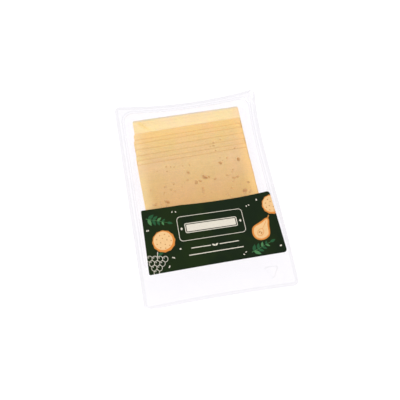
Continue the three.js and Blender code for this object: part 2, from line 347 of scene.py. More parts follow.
def join_or_cut(piece, tool, operation):
    """One exact boolean on the piece, whose tool is then deleted."""
    modifier = piece.modifiers.new(operation.title(), "BOOLEAN")
    modifier.operation = operation
    modifier.solver = "EXACT"
    modifier.object = tool
    bake_modifiers(piece)
    bpy.data.objects.remove(tool)


def closed_sheet(columns, rows, place):
    """Points and faces of a thin closed sheet. place(column, row) gives its low and high point."""
    low, high = [], []
    for j in range(rows):
        for i in range(columns):
            under, over = place(i, j)
            low.append(under)
            high.append(over)
    top = len(low)
    faces = []
    for j in range(rows - 1):
        for i in range(columns - 1):
            a = j * columns + i
            b, c, d = a + 1, a + 1 + columns, a + columns
            faces.append((top + a, top + b, top + c, top + d))
            faces.append((a, d, c, b))
    rim = list(range(columns))
    rim += [j * columns + columns - 1 for j in range(1, rows)]
    rim += [(rows - 1) * columns + i for i in range(columns - 2, -1, -1)]
    rim += [j * columns for j in range(rows - 2, 0, -1)]
    for a, b in zip(rim, rim[1:] + rim[:1]):
        faces.append((a, b, top + b, top + a))
    return low + high, faces


def spaced(low, high, step):
    """Numbers from low to high, evenly spaced, about a step apart."""
    count = max(1, ceil((high - low) / step))
    return [mix(low, high, i / count) for i in range(count + 1)]


def round_off(x, y, half_x, half_y, radius):
    """Moves a point of a rectangle about the origin so that the rectangle gets round corners."""
    u = (abs(x) - (half_x - radius)) / radius
    v = (abs(y) - (half_y - radius)) / radius
    if u <= 0 or v <= 0:
        return x, y
    over_x = radius * u * sqrt(1 - v * v / 2)
    over_y = radius * v * sqrt(1 - u * u / 2)
    return (
        (half_x - radius + over_x) * (1 if x > 0 else -1),
        (half_y - radius + over_y) * (1 if y > 0 else -1),
    )


def loft(rings):
    """Points and faces of a closed surface through rings of equal count, with fans at both ends.

    The faces come band by band from the first ring to the last, and then the two fans.
    """
    count = len(rings[0])
    points = [p for ring in rings for p in ring]
    faces = []
    for r in range(len(rings) - 1):
        for i in range(count):
            a = r * count + i
            b = r * count + (i + 1) % count
            faces.append((a, b, b + count, a + count))
    for ring, first, turn in ((rings[0], 0, -1), (rings[-1], (len(rings) - 1) * count, 1)):
        centre = len(points)
        points.append(sum(ring, Vector()) / count)
        for i in range(count):
            a = first + i
            b = first + (i + 1) % count
            faces.append((a, b, centre) if turn > 0 else (b, a, centre))
    return points, faces


# Materials


def add_node(tree, kind, inputs=None, out=0, **settings):
    """Adds a node with its settings, and links or sets its inputs.

    Returns one of its outputs, or the node itself if it has none.
    """
    node = tree.nodes.new(kind)
    for name, value in settings.items():
        setattr(node, name, value)
    for key, value in (inputs or {}).items():
        socket = node.inputs[key]
        if isinstance(value, bpy.types.NodeSocket):
            tree.links.new(value, socket)
        elif socket.type == "RGBA":
            socket.default_value = (*value[:3], 1.0)
        else:
            socket.default_value = value
    return node.outputs[out] if len(node.outputs) else node


def new_material(name):
    """An empty node material, its tree, and the place on the piece that its patterns follow."""
    material = bpy.data.materials.new(name)
    material.use_nodes = True
    tree = material.node_tree
    tree.nodes.clear()
    return material, tree, add_node(tree, "ShaderNodeTexCoord", out="Object")


def clear_sheet(name, tint, roughness, gloss, ripple, ripple_size):
    """Clear plastic sheet: light goes straight through it, and it mirrors more at a slant.

    gloss is the share that it mirrors when seen straight on and when seen along the sheet.
    """
    material, tree, position = new_material(name)
    waves = add_node(
        tree,
        "ShaderNodeTexNoise",
        {"Vector": position, "Scale": 1 / ripple_size, "Detail": 2.0, "Roughness": NOISE_ROUGHNESS},
    )
    bump = add_node(tree, "ShaderNodeBump", {"Height": waves, "Strength": 1.0, "Distance": ripple})
    through = add_node(tree, "ShaderNodeBsdfTransparent", {"Color": tint})
    mirror = add_node(
        tree,
        "ShaderNodeBsdfPrincipled",
        {"Normal": bump, "Base Color": WHITE, "Metallic": 1.0, "Roughness": roughness},
    )
    slant = add_node(tree, "ShaderNodeLayerWeight", {"Normal": bump, "Blend": 0.5}, out="Facing")
    steep = add_node(tree, "ShaderNodeMath", {0: slant, 1: 2.4}, operation="POWER")
    share = add_node(tree, "ShaderNodeMapRange", {"Value": steep, "To Min": gloss[0], "To Max": gloss[1]})
    blend = add_node(tree, "ShaderNodeMixShader", {0: share, 1: through, 2: mirror})
    add_node(tree, "ShaderNodeOutputMaterial", {"Surface": blend})
    return material


def cheese_body(slices):
    """Semi-hard cow's milk cheese, sliced by a cold blade.

    The cut is satin and faintly greasy. Light goes a few millimetres in, so one slice over a
    white floor looks pale, and the full stack looks deeper and warmer.
    """
    material, tree, position = new_material("semi_hard_cheese")
    along = add_node(tree, "ShaderNodeSeparateXYZ", {0: position}, out="Y")
    stored = {
        name: add_node(tree, "ShaderNodeAttribute", out="Fac", attribute_name=name)
        for name in ("layers", "to_edge", "to_left", "to_right", "past_above", "crease")
    }
    # Broad areas where the curd differs, patches of curd, and a fine grain of the cut.
    broad, patches, fine = (
        add_node(
            tree,
            "ShaderNodeTexNoise",
            {"Vector": position, "Scale": 1 / size, "Detail": detail, "Roughness": NOISE_ROUGHNESS},
        )
        for size, detail in ((24 * MM, 2.0), (9 * MM, 3.0), (1.5 * MM, 4.0))
    )
    # Blade drag: long fine streaks across the pack, 1.1 mm apart, that the slicer left.
    stretch = add_node(
        tree,
        "ShaderNodeVectorMath",
        {0: position, 1: (1 / (22 * MM), 1 / (1.1 * MM), 1 / (4 * MM))},
        operation="MULTIPLY",
    )
    drag = add_node(tree, "ShaderNodeTexNoise", {"Vector": stretch, "Scale": 1.0, "Detail": 2.0})
    # Pinholes: about half a millimetre across and 4 mm apart, drawn as pits.
    pores = add_node(tree, "ShaderNodeTexVoronoi", {"Vector": position, "Scale": 1 / (4 * MM)})
    # Soft mottling from the patches and the grain.
    mottle = add_node(tree, "ShaderNodeMath", {0: patches, 1: 0.5, 2: fine}, operation="MULTIPLY_ADD")

    # Each is a name, what it follows, where that starts and ends, the result at both, and its course.
    straight, soft = "LINEAR", "SMOOTHSTEP"
    level = {}
    for name, follows, start, end, first, last, course in (
        ("depth of cheese", stored["layers"], 0, 7, 0, 1, straight),
        ("towards the label", along, 34 * MM, -6 * MM, 0, 1, straight),
        ("lowest slice", stored["layers"], 0, 0.5, 1, 0, straight),
        ("on the stack", stored["layers"], 0, 1, 0.2, 1, straight),
        ("far cut", stored["to_edge"], 0.4 * MM, 2.4 * MM, 0.95, 0, soft),
        ("left cut", stored["to_left"], 0, 12 * MM, 0.5, 0, soft),
        ("right cut", stored["to_right"], 0, 12 * MM, 0.75, 0, soft),
        ("beside the slice above", stored["past_above"], 0, 2.4 * MM, 1, 0, soft),
        ("yellow curd", broad, 0.35, 0.65, 0, 1, soft),
        ("mottling", mottle, 0.45, 1.05, 0.94, 1.055, straight),
        ("streaks", drag, 0.3, 0.7, 0.965, 1.025, straight),
        ("light on the cut", stored["layers"], 0, 1, 0.94, 1.03, straight),
        ("pit", pores, 0.04, 0.1, 0, 1, straight),
        ("roughness", patches, 0, 1, 0.36, 0.56, straight),
    ):
        spans = {"Value": follows, "From Min": start, "From Max": end, "To Min": first, "To Max": last}
        level[name] = add_node(tree, "ShaderNodeMapRange", spans, interpolation_type=course)

    # Depth of cheese beneath the surface: palest on one slice, deepest on the full stack. The paleness of
    # thin cheese is painted light: it stands in for the light that comes up through it from the floor, on
    # top of the little that subsurface scattering gives.
    tone = add_node(tree, "ShaderNodeValToRGB", {"Fac": level["depth of cheese"]})
    elements = tone.node.color_ramp.elements
    elements[0].color = (*slices.thin, 1.0)
    elements[1].color = (*slices.deep, 1.0)
    for place, rgb in ((1 / 7, slices.edge), (4 / 7, slices.middle)):
        elements.new(place).color = (*rgb, 1.0)
    grey_far_cut, left, right = (
        add_node(tree, "ShaderNodeMath", {0: level[a], 1: level[b]}, operation="MULTIPLY")
        for a, b in (
            ("lowest slice", "far cut"),
            ("left cut", "on the stack"),
            ("right cut", "on the stack"),
        )
    )
    for share, rgb in (
        # Towards the label the top slice is a little drier and darker.
        (level["towards the label"], slices.near),
        # The far cut of the slice that lies alone is greyer and darker.
        (grey_far_cut, slices.grey_far_cut),
        # The cut sides of the stack are lighter, because light also comes in from the side.
        (left, slices.thin),
        (right, slices.glow),
    ):
        tone = add_node(tree, "ShaderNodeMix", {0: share, 6: tone, 7: rgb}, out=2, data_type="RGBA")
    # Most of the curd is a little pinker, and broad patches are yellower.
    hue = (1.02, 0.98, 1.02)
    for share, rgb in (
        (level["yellow curd"], (1.0, 1.0, 0.92)),
        # Where the slice above ends, a darker, yellower line is painted: a painted shadow of the step, with
        # a little of its fat.
        (level["beside the slice above"], (0.93, 0.84, 0.7)),
        # Along the crease in the slice that lies alone, a yellower, slightly darker line is painted: painted
        # shading of the fold.
        (stored["crease"], (0.96, 0.9, 0.6)),
    ):
        hue = add_node(tree, "ShaderNodeMix", {0: share, 6: hue, 7: rgb}, out=2, data_type="RGBA")
    tone = add_node(tree, "ShaderNodeVectorMath", {0: tone, 1: hue}, operation="MULTIPLY")
    # The cut far edge gets a painted highlight, as if it caught the light. On the lowest slice its far edge
    # is a little darker instead.
    rim_light = add_node(
        tree,
        "ShaderNodeMapRange",
        {"Value": stored["to_edge"], "From Max": 1.5 * MM, "To Min": level["light on the cut"]},
        interpolation_type="SMOOTHSTEP",
    )
    for shade in (level["mottling"], level["streaks"], rim_light):
        tone = add_node(tree, "ShaderNodeVectorMath", {0: tone, "Scale": shade}, operation="SCALE")

    relief = add_node(tree, "ShaderNodeMath", {0: level["pit"], 1: 0.9, 2: fine}, operation="MULTIPLY_ADD")
    relief = add_node(tree, "ShaderNodeMath", {0: drag, 1: 0.8, 2: relief}, operation="MULTIPLY_ADD")
    bump = add_node(tree, "ShaderNodeBump", {"Height": relief, "Strength": 0.6, "Distance": 0.12 * MM})
    looks = {"Base Color": tone, "Roughness": level["roughness"], "Normal": bump, "Subsurface Weight": 0.2}
    body = add_node(tree, "ShaderNodeBsdfPrincipled", {**looks, **CHEESE_DEPTH})
    add_node(tree, "ShaderNodeOutputMaterial", {"Surface": body})
    return material


def cheese_eye(slices):
    """Wall of a gas hole in the cheese: smooth, shiny and a little darker than the cut.
    Towards the bottom of a deep eye it darkens further: painted shade of the hollow.
    """
    material, tree, position = new_material("cheese_eye_wall")
    patches = add_node(
        tree,
        "ShaderNodeTexNoise",
        {"Vector": position, "Scale": 1 / (2 * MM), "Detail": 3.0, "Roughness": NOISE_ROUGHNESS},
    )
    depth = add_node(tree, "ShaderNodeAttribute", out="Fac", attribute_name="depth")
    # Painted shade, deeper towards the bottom of a deep eye.
    recess_shade = add_node(
        tree,
        "ShaderNodeMapRange",
        {"Value": depth, "From Min": 0.25 * MM, "From Max": 1.05 * MM},
        interpolation_type="SMOOTHSTEP",
    )
    tone = slices.eye
    for share, rgb in ((patches, slices.near), (recess_shade, slices.eye_floor_shade)):
        tone = add_node(tree, "ShaderNodeMix", {0: share, 6: tone, 7: rgb}, out=2, data_type="RGBA")
    looks = {"Base Color": tone, "Roughness": 0.3, "Subsurface Weight": 0.15}
    body = add_node(tree, "ShaderNodeBsdfPrincipled", {**looks, **CHEESE_DEPTH})
    add_node(tree, "ShaderNodeOutputMaterial", {"Surface": body})
    return material


def printed_ink(name, rgb, cloud=None):
    """Offset ink on coated self-adhesive paper: satin under a thin varnish, barely mottled.

    With a cloud colour, the ink drifts towards it in patches as wide as a thumb.
    """
    material, tree, position = new_material(name)
    # The mottle of offset print is about 0.3 mm; 1.2 mm here, so that it shows.
    mottle = add_node(
        tree,
        "ShaderNodeTexNoise",
        {"Vector": position, "Scale": 1 / (1.2 * MM), "Detail": 4.0, "Roughness": NOISE_ROUGHNESS},
    )
    if cloud:
        drift = add_node(
            tree,
            "ShaderNodeTexNoise",
            {"Vector": position, "Scale": 1 / (28 * MM), "Detail": 2.0, "Roughness": NOISE_ROUGHNESS},
        )
        share = add_node(
            tree,
            "ShaderNodeMapRange",
            {"Value": drift, "From Min": 0.38, "From Max": 0.62},
            interpolation_type="SMOOTHSTEP",
        )
        rgb = add_node(tree, "ShaderNodeMix", {0: share, 6: rgb, 7: cloud}, out=2, data_type="RGBA")
    shade = add_node(tree, "ShaderNodeMapRange", {"Value": mottle, "To Min": 0.86, "To Max": 1.14})
    tone = add_node(tree, "ShaderNodeVectorMath", {0: rgb, "Scale": shade}, operation="SCALE")
    bump = add_node(tree, "ShaderNodeBump", {"Height": mottle, "Strength": 0.4, "Distance": 0.02 * MM})
    body = add_node(
        tree,
        "ShaderNodeBsdfPrincipled",
        {"Base Color": tone, "Normal": bump, "Roughness": 0.42, "IOR": 1.5, "Specular IOR Level": 0.09},
    )
    add_node(tree, "ShaderNodeOutputMaterial", {"Surface": body})
    return material


def studio_floor(stage):
    """Opal acrylic of a light table, lit a little from below, with faintly cloudy light."""
    material, tree, position = new_material("opal_light_table")
    clouds = add_node(
        tree,
        "ShaderNodeTexNoise",
        {"Vector": position, "Scale": 1 / 0.25, "Detail": 3.0, "Roughness": NOISE_ROUGHNESS},
    )
    shade = add_node(tree, "ShaderNodeMapRange", {"Value": clouds, "To Min": 0.995, "To Max": 1.005})
    tone = add_node(tree, "ShaderNodeVectorMath", {0: stage.floor, "Scale": shade}, operation="SCALE")
    body = add_node(
        tree,
        "ShaderNodeBsdfPrincipled",
        {
            "Base Color": tone,
            "Roughness": 0.9,
            "Specular IOR Level": 0.1,
            "Emission Color": WHITE,
            "Emission Strength": stage.floor_glow,
        },
    )
    add_node(tree, "ShaderNodeOutputMaterial", {"Surface": body})
    return material


# Form of the pack


def settle(tray, x, y, z, hold):
    """Where a point of the flat pack ends up once its sides are drawn in and its corners curled.

    hold is 1 at the flange's height and 0 on the floor of the tray, which stays flat.
    """
    across = clamp(x / (HALF_WIDTH - tray.outline_corner), -1, 1)
    along = clamp(y / (HALF_LENGTH - tray.outline_corner), -1, 1)
    end_bow = -tray.far_bow if y > 0 else tray.near_bow
    end_pull = end_bow * (1 - across**2) * along**4
    # This is side_bow at its deepest, halfway from the middle to the far end.
    side_pull = tray.side_bow * (1 - along**2) * (1 + along) ** 2 * max(0, across) ** 3 / 1.6875
    lift = tray.corner_lift * across**2 * along**2
    return Vector((x - side_pull * hold, y + end_pull * hold, z + lift * hold**2))


def cup_size(tray):
    """Half width, half length and middle of the cup at the flange."""
    half_length = HALF_LENGTH - (tray.far_flange + tray.near_flange) / 2
    return HALF_WIDTH - tray.side_flange, half_length, (tray.near_flange - tray.far_flange) / 2


def rounded_ring(half_x, half_y, corner, middle_y):
    """Points anticlockwise round a rectangle with round corners, the same count for every size."""
    corner_steps, end_steps, side_steps = 10, 30, 40
    points = []
    corners = [
        (1, -1, -90, side_steps),
        (1, 1, 0, end_steps),
        (-1, 1, 90, side_steps),
        (-1, -1, 180, end_steps),
    ]
    for n, (sx, sy, start, steps) in enumerate(corners):
        for i in range(corner_steps + 1):
            angle = radians(start + 90 * i / corner_steps)
            x = sx * (half_x - corner) + corner * cos(angle)
            y = middle_y + sy * (half_y - corner) + corner * sin(angle)
            points.append((x, y))
        nx, ny, start, _ = corners[(n + 1) % 4]
        target_x = nx * (half_x - corner) + corner * cos(radians(start))
        target_y = middle_y + ny * (half_y - corner) + corner * sin(radians(start))
        from_x, from_y = points[-1]
        for i in range(1, steps):
            points.append((mix(from_x, target_x, i / steps), mix(from_y, target_y, i / steps)))
    return points


def cup_section(tray, depth):
    """The cup's section from the flange to the floor, as (inset from the cup's edge, height).

    depth is 0 on the inner face and the wall's thickness on the outer one.
    """
    rim_x, rim_z = -tray.rim_radius, tray.height - tray.rim_radius
    top_x = rim_x + tray.rim_radius * cos(tray.draft)
    top_z = rim_z + tray.rim_radius * sin(tray.draft)
    foot_z = tray.wall + tray.floor_radius * (1 - sin(tray.draft))
    floor_x = top_x + (top_z - foot_z) * tan(tray.draft) + tray.floor_radius * cos(tray.draft)
    floor_z = tray.wall + tray.floor_radius
    section = []
    for i in range(ARC_STEPS + 1):
        angle = (pi / 2 - tray.draft) * i / ARC_STEPS
        radius = tray.rim_radius - depth
        section.append((rim_x + radius * sin(angle), rim_z + radius * cos(angle)))
    for i in range(ARC_STEPS + 1):
        angle = tray.draft + (pi / 2 - tray.draft) * i / ARC_STEPS
        radius = tray.floor_radius + depth
        section.append((floor_x - radius * cos(angle), floor_z - radius * sin(angle)))
    # The floor's own rings, so that it isn't one fan of long faces.
    for inset in FLOOR_RINGS:
        section.append((floor_x + inset, tray.wall - depth))
    return section


def tray_mesh(tray):
    """Points and faces of the tray: cup, flange with its seal groove, and turned edge.

    The third result is the look of each face: 0 is flat sheet, 1 is a bend, which gets a painted grey
    shade, as clear plastic looks grey there, and 2 is the cup, whose sheet was stretched thinner.
    """
    cup_x, cup_y, middle = cup_size(tray)
    full = tray.height - tray.wall

    def cup_ring(inset, z):
        corner = max(1 * MM, tray.cup_corner - inset)
        ring = rounded_ring(cup_x - inset, cup_y - inset, corner, middle)
        return [settle(tray, x, y, z, min(1, z / full)) for x, y in ring]

    def flange_ring(half_x, half_y, corner, middle_y, z):
        return [settle(tray, x, y, z, 1) for x, y in rounded_ring(half_x, half_y, corner, middle_y)]

    def offset_ring(distance, z):
        return flange_ring(cup_x + distance, cup_y + distance, tray.cup_corner + distance, middle, z)

    def cup(depth):
        names = ["rim"] * (ARC_STEPS + 1) + ["foot"] * (ARC_STEPS + 1) + ["floor"] * len(FLOOR_RINGS)
        return [(cup_ring(*at), name) for at, name in zip(cup_section(tray, depth), names)]

    def flange(base):
        groove = tray.groove_width / 2
        rings = []
        for step in (-1.0, -0.6, -0.3, 0.0, 0.3, 0.6, 1.0):
            dip = tray.groove_depth * (1 - step**2) ** 2
            rings.append((offset_ring(tray.groove_offset + step * groove, base - dip), "groove"))
        start = tray.groove_offset + 2 * groove
        for share in (0, 0.33, 0.67):
            ring = flange_ring(
                mix(cup_x + start, HALF_WIDTH - tray.edge_width, share),
                mix(cup_y + start, HALF_LENGTH - tray.edge_width, share),
                mix(tray.cup_corner + start, tray.outline_corner - tray.edge_width, share),
                mix(middle, 0, share),
                base,
            )
            rings.append((ring, None))
        # The punch turns the cut edge down a little.
        for share in EDGE_RINGS:
            inset = tray.edge_width * share
            sizes = (HALF_WIDTH - inset, HALF_LENGTH - inset, tray.outline_corner - inset, 0)
            rings.append((flange_ring(*sizes, base - edge_drop(tray, inset)), "edge"))
        return rings

    rings = (cup(0)[::-1] + flange(tray.height) + flange(full)[::-1] + cup(tray.wall))[::-1]
    points, faces = loft([ring for ring, _ in rings])
    looks = []
    for (ring, name), (_, next_name) in zip(rings, rings[1:]):
        in_cup = {name, next_name} & {"foot", "floor"}
        look = 1 if name == next_name and name in ("rim", "groove", "edge") else 2 if in_cup else 0
        looks += [look] * len(ring)
    return points, faces, looks + [2] * (len(faces) - len(looks))


def edge_drop(tray, inset):
    """How far the turned edge lies lower, that far in from the outline."""
    return tray.edge_turn * clamp(1 - inset / tray.edge_width) ** 2


def peel_tool(tray, size, low, high):
    """A flat three-cornered form with soft corners and sloping sides, one corner to the near edge.

    Its slopes are marked as bends.
    """
    slope = 1.6 * (high - low)
    inner, softness = 0.4 * MM, 0.18
    rings = []
    for inset, z in ((slope + inner, low), (slope, low), (0, high), (inner, high)):
        reach = size - inset
        soft = reach * softness
        ring = []
        for n in range(3):
            towards = radians(-90 + 120 * n)
            for step in range(-4, 5):
                angle = towards + radians(60) * step / 4
                x = tray.peel_x + (reach - soft * 2) * cos(towards) + soft * cos(angle)
                y = tray.peel_y + (reach - soft * 2) * sin(towards) + soft * sin(angle)
                ring.append(settle(tray, x, y, z, 1))
        rings.append(ring)
    points, faces = loft(rings)
    piece = new_piece("peel_tool", points, faces)
    count = len(rings[0])
    for polygon in piece.data.polygons:
        polygon.material_index = 1 if polygon.index < 3 * count else 0
    return piece


def film_height(tray, film, x, y):
    """Height of the film's underside over the flat pack, before it settles."""
    cup_x, cup_y, middle = cup_size(tray)
    across = min(1, abs(x) / (cup_x - film.sag_edge))
    along = min(1, abs(y - middle) / (cup_y - film.sag_edge))
    # 1 in the middle of the cup and 0 on the flange, where the film is sealed flat.
    open_share = (1 - across**4) * (1 - along**4)
    z = tray.height + film.seal_gap - film.sag * open_share
    z -= edge_drop(tray, min(HALF_WIDTH - abs(x), HALF_LENGTH - abs(y)))
    return z + film_creases(film, x, y) * smoothstep(open_share * 4)


def film_creases(film, x, y):
    """Creases that the film throws where it comes down onto the cheese's corners and sides."""
    far = CHEESE_HIGH.y
    half = (CHEESE_HIGH.x - CHEESE_LOW.x) / 2
    # Each is where it starts, where it ends, its width and its share of the crease height.
    lines = [
        (-half - 4 * MM, far + 1 * MM, -half + 15 * MM, far - 17 * MM, 1.6 * MM, 1.0),
        (-half - 6 * MM, far - 14 * MM, -half + 3 * MM, far - 34 * MM, 1.8 * MM, 0.7),
        (half + 4 * MM, far, half - 12 * MM, far - 9 * MM, 1.7 * MM, 0.8),
        (half + 5 * MM, far - 20 * MM, half - 1 * MM, far - 46 * MM, 1.8 * MM, 0.6),
        (-half - 6 * MM, 30 * MM, -half - 3 * MM, -6 * MM, 2.0 * MM, 0.7),
        (half + 6 * MM, 26 * MM, half + 3 * MM, -4 * MM, 2.0 * MM, 0.7),
    ]
    height = 0
    # Shares of a crease's length: how far it reaches past its ends, and over how much it fades.
    past, fade_length = 0.3, 0.5
    for x0, y0, x1, y1, width, share in lines:
        run_x, run_y = x1 - x0, y1 - y0
        along = ((x - x0) * run_x + (y - y0) * run_y) / (run_x**2 + run_y**2)
        off = ((x - x0) * run_y - (y - y0) * run_x) / hypot(run_x, run_y)
        if -past < along < 1 + past:
            fade = smoothstep((along + past) / fade_length) * smoothstep((1 + past - along) / fade_length)
            height += film.crease_height * share * fade * exp(-((off / width) ** 2))
    return height + film.ripple * wave(x, y, 3.1, film.ripple_span)


# Slices


def far_edge(slices, n):
    """Where slice n ends towards the far end, in its own unturned frame."""
    return slices.first_far_edge - sum(SLICE_STEPS[: n + 1]) * MM


def near_edge(slices, n):
    return far_edge(slices, n) - slices.long_side


def slice_middle(slices, n):
    """Where the middle of slice n lies across the pack, in its own unturned frame."""
    share = n / (len(SLICE_STEPS) - 1)
    return mix(slices.first_shift, slices.last_shift, share) + slices.side_stray * sin(2.3 * n)


def slice_turn(slices, n):
    return slices.first_turn if n == 0 else slices.stack_turn


def turned(x, y, angle):
    """A point turned about the origin."""
    return x * cos(angle) - y * sin(angle), x * sin(angle) + y * cos(angle)


def slice_height(slices, wall, n, y):
    """Height of the underside of slice n: the layers beneath it, past whose ends it droops."""
    z = wall + slices.gap
    for below in range(n):
        past = (near_edge(slices, below) - y) / slices.droop
        z += slices.thickness * (1 - smoothstep(past))
    return z


def cut_line(slices, n, x):
    """Where the far cut of slice n runs at x, in its own unturned frame, with its small waves."""
    seed = WAVES_APART * n
    stray = wave(x, 0, seed + 4, 26 * MM) + 0.4 * wave(x, 0, seed + 6, 5 * MM)
    return far_edge(slices, n) - slices.stray * abs(stray)


def crease_at(slices, n, x, y):
    """How near a point is to the crease that runs in from the lowest slice's far corner."""
    if n:
        return 0.0
    start_x, start_y, half_width = 4 * MM, 1 * MM, 2.6 * MM
    fade_in, full_until, fade_out = 3 * MM, 10 * MM, 9 * MM
    out_x = x - slice_middle(slices, n) + slices.width / 2 - start_x
    out_y = far_edge(slices, n) - start_y - y
    along, across = (out_x + out_y) / sqrt(2), (out_x - out_y) / sqrt(2)
    ends = smoothstep(along / fade_in) * (1 - smoothstep((along - full_until) / fade_out))
    return ends * (1 - smoothstep(abs(across) / half_width))


def slice_mesh(slices, wall, n):
    """Points and faces of slice n, before its eyes open.

    Its mesh is finer where it shows, past the slice on it. There it also curls and swells a little.
    """
    overlap, curl_length = 4 * MM, 7 * MM
    swell_height, swell_most = 0.05 * MM, 0.02 * MM
    half_x, half_y = slices.width / 2, slices.long_side / 2
    centre_x, centre_y = slice_middle(slices, n), far_edge(slices, n) - half_y
    last = n == len(SLICE_STEPS) - 1
    uncovered = near_edge(slices, n) if last else far_edge(slices, n + 1)
    hidden = clamp(uncovered - overlap - centre_y, -half_y + 1 * MM, half_y)
    xs = spaced(-half_x, half_x, slices.mesh_step * 1.5)
    ys = spaced(-half_y, hidden, slices.mesh_step * 2)[:-1] + spaced(hidden, half_y, slices.mesh_step)
    turn = slice_turn(slices, n)

    def place(i, j):
        x, y = round_off(xs[i], ys[j], half_x, half_y, slices.corner)
        seed = WAVES_APART * n
        stray_x = slices.stray * (wave(0, y, seed, 14 * MM) + 0.5 * wave(0, y, seed + 2, 4 * MM))
        pull = far_edge(slices, n) - cut_line(slices, n, centre_x + x)
        x = centre_x + x - abs(stray_x) * (x / half_x) ** 3
        y = centre_y + y - pull * (y / half_y) ** 3
        z = slice_height(slices, wall, n, y)
        free = smoothstep((y - uncovered) / overlap)
        edge = smoothstep((y - (far_edge(slices, n) - curl_length)) / curl_length)
        curl = 0 if last else slices.curl
        lift = curl * edge * free * (0.5 + 0.5 * wave(x, 0, seed + 8, 30 * MM))
        lift += slices.crease_lift * crease_at(slices, n, x, y)
        swell = swell_height * free * wave(x, y, seed + 9, 11 * MM)
        top = z + slices.thickness - slices.gap + lift + min(swell, swell_most)
        at = turned(x, y, turn)
        return Vector((*at, z + lift * 0.9)), Vector((*at, top))

    return closed_sheet(len(xs), len(ys), place)


def mark_strips(slices, wall, piece, n):
    """Stores how each point lies to the slice above, to its own cut edges and to its top.

    Also stores how many slices lie beneath it. The cheese's colour follows all of these.
    """
    mesh = piece.data
    count = len(mesh.vertices)
    above = min(n + 1, len(SLICE_STEPS) - 1)
    past_above, to_edge, to_left, to_right, depth, crease = [], [], [], [], [], []
    for vertex in mesh.vertices:
        own = turned(vertex.co.x, vertex.co.y, -slice_turn(slices, n))
        to_edge.append(cut_line(slices, n, own[0]) - own[1])
        to_left.append(own[0] - slice_middle(slices, n) + slices.width / 2)
        to_right.append(slices.width - to_left[-1])
        top = slice_height(slices, wall, n, own[1]) + slices.thickness - slices.gap
        depth.append(top - vertex.co.z)
        crease.append(crease_at(slices, n, *own))
        over = turned(vertex.co.x, vertex.co.y, -slice_turn(slices, above))
        past = over[1] - cut_line(slices, above, over[0])
        past_above.append(past if above > n else 1.0)
    for name, values in (
        ("past_above", past_above),
        ("to_edge", to_edge),
        ("to_left", to_left),
        ("to_right", to_right),
        ("depth", depth),
        ("crease", crease),
        ("layers", [float(n)] * count),
    ):
        attribute = mesh.attributes.new(name, "FLOAT", "POINT")
        attribute.data.foreach_set("value", values)


def top_eyes(slices, label_far):
    """Eyes of the top slice as (x, y, radius, turn): large ones, then small and tiny ones by draw.

    The small ones crowd towards the label.
    """
    # The place and radius of each large eye, in mm.
    large = [
        (5, 16, 2.2),
        (-10, 23, 1.5),
        (22, 28, 1.6),
        (40, 29, 1.7),
        (32, 11, 1.4),
        (40, -3, 2.1),
        (-34, -3, 2.2),
        (-4, 12, 1.7),
    ]
    margin = 5 * MM
    far = far_edge(slices, len(SLICE_STEPS) - 1) - margin
    reach = slices.width / 2 - margin
    draw = draws(slices.eye_seed)
    eyes = [(x * MM, y * MM, radius * MM) for x, y, radius in large]
    for _ in range(slices.small_eyes):
        x = slices.last_shift + (2 * next(draw) - 1) * reach
        y = mix(label_far, far, next(draw) ** 1.8)
        eyes.append((x, y, mix(slices.smallest_eye, slices.largest_eye, next(draw))))
    eyes = [(x, y, radius, pi * next(draw)) for x, y, radius in eyes]
    for _ in range(slices.tiny_eyes):
        x = slices.last_shift + (2 * next(draw) - 1) * reach
        y = mix(label_far, far, next(draw))
        eyes.append((x, y, mix(slices.smallest_tiny, slices.largest_tiny, next(draw)), pi * next(draw)))
    return eyes


def lower_eyes(slices, n):
    """A few small eyes in the strip that slice n shows, and some cut open at its sides."""
    low_y, high_y = near_edge(slices, n), far_edge(slices, n)
    low_x = slice_middle(slices, n) - slices.width / 2
    high_x = low_x + slices.width
    draw = draws(slices.eye_seed + 97 * n)
    eyes = []
    # In the strip they lie towards +X, and only high in the stack.
    for _ in range(n // 2 if n > 3 else 0):
        x = mix(high_x - 36 * MM, high_x - 4 * MM, next(draw))
        y = mix(far_edge(slices, n + 1) + 1.2 * MM, high_y - 1.8 * MM, next(draw))
        eyes.append((x, y, mix(0.6, 0.95, next(draw)) * MM, 0.8 * (next(draw) - 0.5)))
    # Its left and right cuts go through others.
    for _ in range(5):
        x = low_x if next(draw) < 0.5 else high_x
        y = mix(low_y + 6 * MM, high_y - 6 * MM, next(draw))
        eyes.append((x, y, mix(0.8, 1.7, next(draw)) * MM, pi * next(draw)))
    turn = slice_turn(slices, n)
    return [(*turned(x, y, turn), radius, angle) for x, y, radius, angle in eyes]


